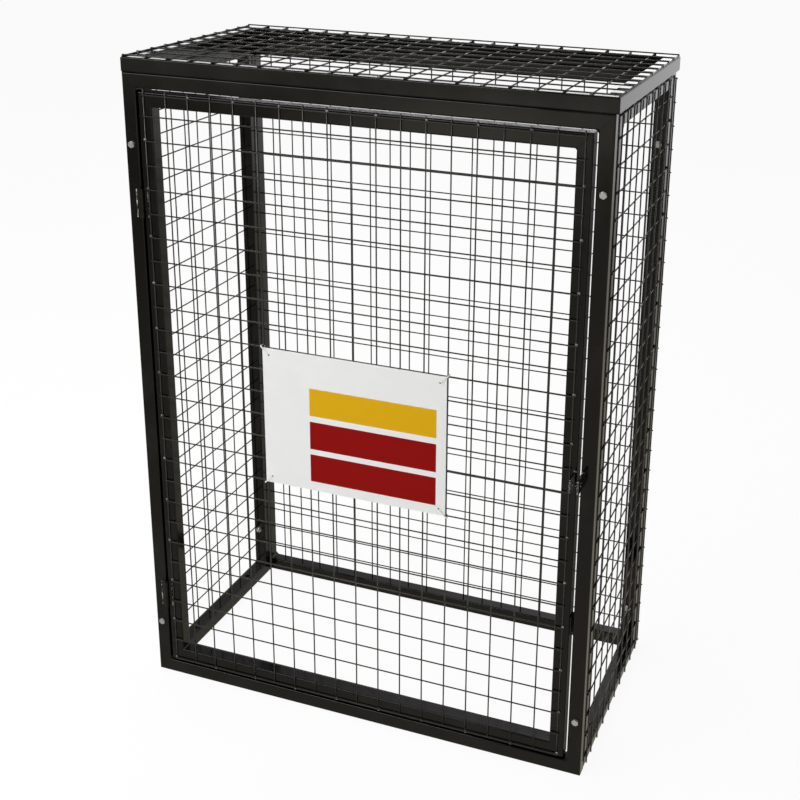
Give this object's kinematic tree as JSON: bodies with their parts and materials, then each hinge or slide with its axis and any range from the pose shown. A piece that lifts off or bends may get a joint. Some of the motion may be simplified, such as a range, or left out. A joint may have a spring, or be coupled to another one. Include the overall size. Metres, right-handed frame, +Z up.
{
  "type": "gas cylinder storage cage",
  "caption": "Upright rectangular cage of black square tube and welded wire mesh with a mesh lid, open base and a side-hinged lockable front door, for storing gas cylinders.",
  "frame": {"origin": "centre of the four ground anchor holes, on the floor under the middle of the cage body", "axes": "+X to the right seen from the door, +Y from the door to the rear, +Z up"},
  "size_m": [1.0109, 0.5509, 1.4099],
  "materials": {
    "black_coat": "glossy black powder coat",
    "sign_white": "satin white sheet",
    "buffer_rubber": "dull black rubber"
  },
  "bodies": {
    "cage": {"front_left_post": "black_coat", "front_right_post": "black_coat", "front_bottom_rail": "black_coat", "front_top_rail": "black_coat", "rear_left_post": "black_coat", "rear_right_post": "black_coat", "rear_bottom_rail": "black_coat", "rear_top_rail": "black_coat", "left_front_post": "black_coat", "left_rear_post": "black_coat", "left_bottom_rail": "black_coat", "left_top_rail": "black_coat", "right_front_post": "black_coat", "right_rear_post": "black_coat", "right_bottom_rail": "black_coat", "right_top_rail": "black_coat", "lid_left_rail": "black_coat", "lid_right_rail": "black_coat", "lid_front_rail": "black_coat", "lid_rear_rail": "black_coat", "left_mesh": "black_coat", "right_mesh": "black_coat", "rear_mesh_lower": "black_coat", "rear_mesh_upper": "black_coat", "lid_mesh": "black_coat", "frame_hinges": "black_coat", "frame_lug": "black_coat"},
    "door": {"door_hinge_post": "black_coat", "door_lock_post": "black_coat", "door_bottom_rail": "black_coat", "door_top_rail": "black_coat", "door_mesh_lower": "black_coat", "door_mesh_upper": "black_coat", "door_hinges": "black_coat", "door_lug": "black_coat", "door_buffer": "buffer_rubber", "sign_plate": "sign_white"}
  },
  "joints": [
    {"name": "door_hinge", "type": "hinge", "parent": "cage", "child": "door", "pos_m": [-0.4675, -0.2602, 0.6575], "axis": [0, 0, -1], "range_deg": [0, 115]}
  ]
}
